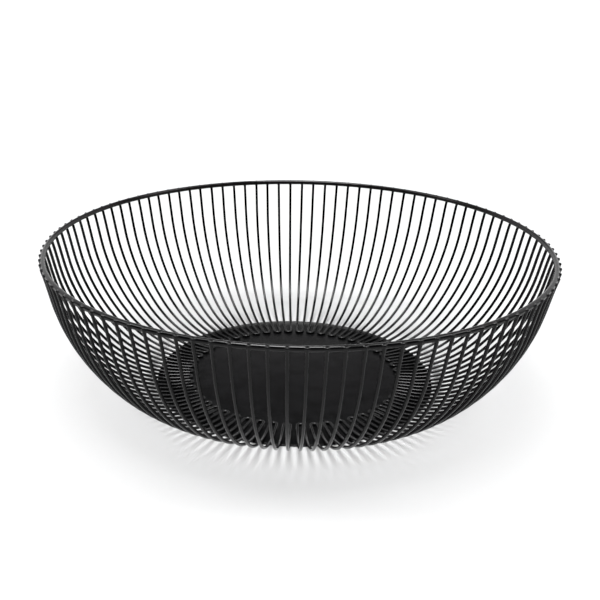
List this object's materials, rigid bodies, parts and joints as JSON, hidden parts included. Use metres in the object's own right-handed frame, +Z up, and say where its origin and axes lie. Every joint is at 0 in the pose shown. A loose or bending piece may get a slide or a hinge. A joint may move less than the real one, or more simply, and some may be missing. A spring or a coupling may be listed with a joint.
{
  "type": "wire fruit bowl",
  "caption": "Round open bowl of black coated steel: a fan of bent wires runs from a rim ring down to a flat base plate.",
  "frame": {"origin": "centre of the base plate's underside, on the surface that the bowl stands on", "axes": "+Z up along the bowl's axis; +X and +Y lie across the bowl, and -Y is the side that the picture shows in front"},
  "size_m": [0.39, 0.39, 0.1148],
  "materials": {
    "rim_coat": "satin black powder coat on a steel bar",
    "wire_coat": "satin black powder coat on steel wire",
    "plate_coat": "satin black powder coat on sheet steel"
  },
  "bodies": {
    "root": {"rim_ring": "rim_coat", "formed_wire_01": "wire_coat", "formed_wire_02": "wire_coat", "formed_wire_03": "wire_coat", "formed_wire_04": "wire_coat", "formed_wire_05": "wire_coat", "formed_wire_06": "wire_coat", "formed_wire_07": "wire_coat", "formed_wire_08": "wire_coat", "formed_wire_09": "wire_coat", "formed_wire_10": "wire_coat", "formed_wire_11": "wire_coat", "formed_wire_12": "wire_coat", "formed_wire_13": "wire_coat", "formed_wire_14": "wire_coat", "formed_wire_15": "wire_coat", "formed_wire_16": "wire_coat", "formed_wire_17": "wire_coat", "formed_wire_18": "wire_coat", "formed_wire_19": "wire_coat", "formed_wire_20": "wire_coat", "formed_wire_21": "wire_coat", "formed_wire_22": "wire_coat", "formed_wire_23": "wire_coat", "formed_wire_24": "wire_coat", "formed_wire_25": "wire_coat", "formed_wire_26": "wire_coat", "formed_wire_27": "wire_coat", "formed_wire_28": "wire_coat", "formed_wire_29": "wire_coat", "formed_wire_30": "wire_coat", "formed_wire_31": "wire_coat", "formed_wire_32": "wire_coat", "formed_wire_33": "wire_coat", "formed_wire_34": "wire_coat", "formed_wire_35": "wire_coat", "formed_wire_36": "wire_coat", "formed_wire_37": "wire_coat", "formed_wire_38": "wire_coat", "formed_wire_39": "wire_coat", "formed_wire_40": "wire_coat", "formed_wire_41": "wire_coat", "formed_wire_42": "wire_coat", "formed_wire_43": "wire_coat", "formed_wire_44": "wire_coat", "formed_wire_45": "wire_coat", "formed_wire_46": "wire_coat", "formed_wire_47": "wire_coat", "formed_wire_48": "wire_coat", "formed_wire_49": "wire_coat", "formed_wire_50": "wire_coat", "formed_wire_51": "wire_coat", "formed_wire_52": "wire_coat", "formed_wire_53": "wire_coat", "formed_wire_54": "wire_coat", "base_plate": "plate_coat"}
  },
  "joints": []
}
